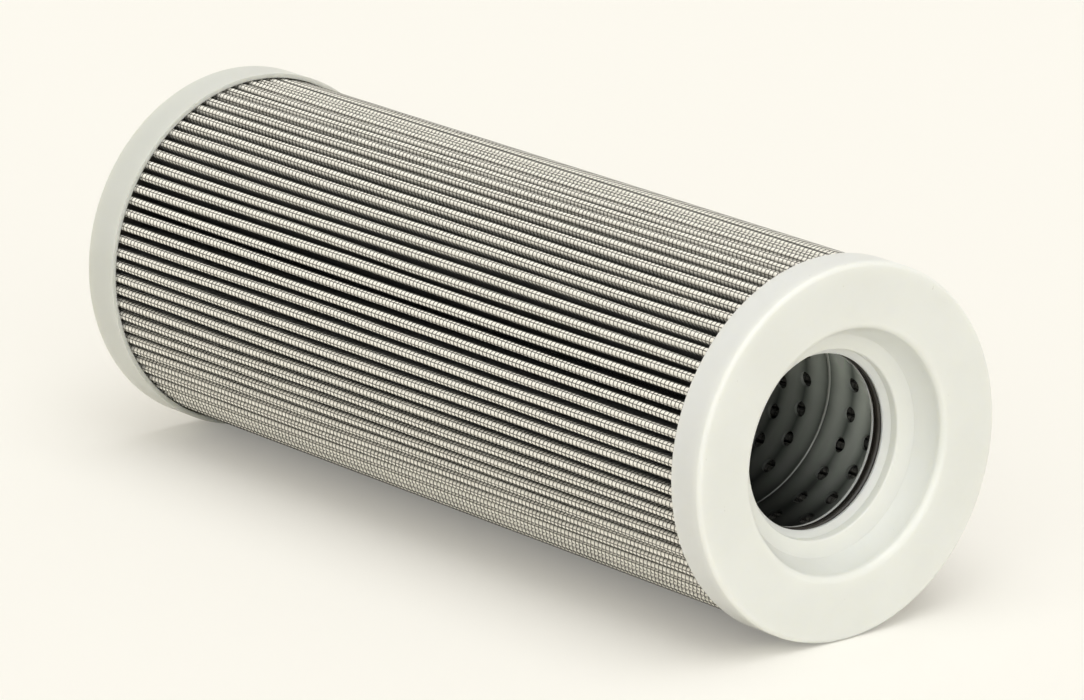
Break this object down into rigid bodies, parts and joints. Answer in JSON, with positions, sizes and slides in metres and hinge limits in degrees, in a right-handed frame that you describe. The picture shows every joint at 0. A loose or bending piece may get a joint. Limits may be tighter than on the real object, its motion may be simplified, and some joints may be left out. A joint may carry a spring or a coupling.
{
  "type": "hydraulic pressure filter",
  "caption": "Cylindrical pleated filter element with wire mesh support, a perforated core tube, a closed end cap and an open end cap with a sealed bore.",
  "frame": {"origin": "centre of the closed end face, on which the element stands", "axes": "+Z along the element's axis, from the closed end to the open end"},
  "size_m": [0.095, 0.095, 0.248],
  "materials": {
    "cap_plastic": "satin moulded plastic",
    "seal_rubber": "smooth",
    "core_steel": "dull rolled sheet",
    "potting_resin": "cured adhesive",
    "wire_mesh": "fine woven wire",
    "fleece": "soft white fleece",
    "glass_fibre": "matt fibre mat"
  },
  "bodies": {
    "root": {"open_end_cap": "cap_plastic", "closed_end_cap": "cap_plastic", "bore_seal_ring": "seal_rubber", "core_tube": "core_steel", "open_end_potting": "potting_resin", "closed_end_potting": "potting_resin", "outer_wire_mesh": "wire_mesh", "outer_fleece": "fleece", "glass_fibre_media": "glass_fibre", "inner_fleece": "fleece", "inner_wire_mesh": "wire_mesh", "side_seam_bond": "potting_resin"}
  },
  "joints": []
}
